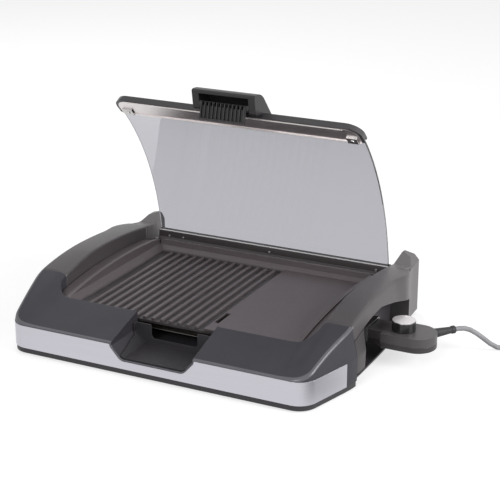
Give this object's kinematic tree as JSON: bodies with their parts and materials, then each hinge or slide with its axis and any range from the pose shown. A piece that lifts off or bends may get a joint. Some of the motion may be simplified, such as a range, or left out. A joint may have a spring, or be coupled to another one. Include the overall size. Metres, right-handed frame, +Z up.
{
  "type": "electric indoor grill with lid",
  "caption": "Table grill: a ribbed and flat cast plate in a dark plastic housing, hinged curved glass lid with grip, pull-out drip tray, plug-in thermostat with knob and mains lead.",
  "frame": {"origin": "on the table under the middle of the housing, at the underside of its middle rubber foot", "axes": "+X to the thermostat side (the right as seen from the front), +Y to the hinge side at the back, +Z up"},
  "size_m": [0.8835, 0.477, 0.401],
  "materials": {
    "base_black": "satin",
    "deck_grey": "satin, dark grey",
    "handle_grey": "satin, dark grey",
    "tower_grey": "satin, dark grey",
    "band_steel": "brushed along its length",
    "reflector_sheet": "bright rolled sheet",
    "plate_coating": "dark non-stick coating on cast aluminium",
    "element_steel": "heat-tinted tube",
    "zinc_steel": "zinc plated",
    "contact_brass": "plain",
    "tray_plastic": "satin",
    "foot_rubber": "matt",
    "lid_glass": "smoke tinted, clear",
    "rail_black": "semi-gloss",
    "rear_rail_black": "satin",
    "bright_trim": "polished",
    "grip_black": "satin",
    "thermostat_black": "satin",
    "switch_body": "moulded resin with metal parts",
    "relief_rubber": "matt",
    "cord_sheath": "matt",
    "knob_black": "semi-gloss",
    "knob_face": "spun finish"
  },
  "bodies": {
    "housing": {"base_pan": "base_black", "deck_frame": "deck_grey", "front_band": "band_steel", "handle_left": "handle_grey", "handle_right": "handle_grey", "cheek_left": "tower_grey", "cheek_right": "tower_grey", "tower_left": "tower_grey", "tower_right": "tower_grey", "rear_panel": "base_black", "reflector_pan": "reflector_sheet", "grill_plate": "plate_coating", "heating_element": "element_steel", "element_clips": "zinc_steel", "contact_pins": "zinc_steel", "socket_guard": "zinc_steel", "earth_spring": "contact_brass", "tray_runners": "base_black", "rubber_feet": "foot_rubber", "base_screws": "zinc_steel"},
    "drip_tray": {"drip_tray": "tray_plastic"},
    "lid": {"lid_glass": "lid_glass", "front_rail": "rail_black", "front_trim": "bright_trim", "rear_rail": "rear_rail_black", "rear_trim": "bright_trim", "lid_grip": "grip_black", "finger_guard": "grip_black", "glass_clips": "zinc_steel", "rail_screws": "zinc_steel", "hinge_pins": "zinc_steel"},
    "thermostat": {"thermostat_lower": "thermostat_black", "thermostat_upper": "thermostat_black", "probe": "zinc_steel", "contact_sleeves": "contact_brass", "bimetal_switch": "switch_body", "thermostat_screws": "zinc_steel", "strain_relief": "relief_rubber", "cord_lead": "cord_sheath", "cord_coil": "cord_sheath", "cord_tail": "cord_sheath", "cord_tie": "relief_rubber", "mains_plug": "cord_sheath", "plug_pins": "zinc_steel"},
    "knob": {"knob": "knob_black", "knob_cap": "knob_face", "knob_shaft": "zinc_steel"}
  },
  "joints": [
    {"name": "lid_hinge", "type": "hinge", "parent": "housing", "child": "lid", "pos_m": [0, 0.1905, 0.068], "axis": [1, 0, 0], "range_deg": [0, 61.5]},
    {"name": "tray_slide", "type": "slide", "parent": "housing", "child": "drip_tray", "axis": [0, -1, 0], "range_m": [0, 0.11]},
    {"name": "thermostat_slide", "type": "slide", "parent": "housing", "child": "thermostat", "axis": [1, 0, 0], "range_m": [0, 0.066]},
    {"name": "knob_turn", "type": "hinge", "parent": "thermostat", "child": "knob", "pos_m": [0.312, 0.027, 0.06], "axis": [0, 0, 1], "range_deg": [0, 270]}
  ]
}
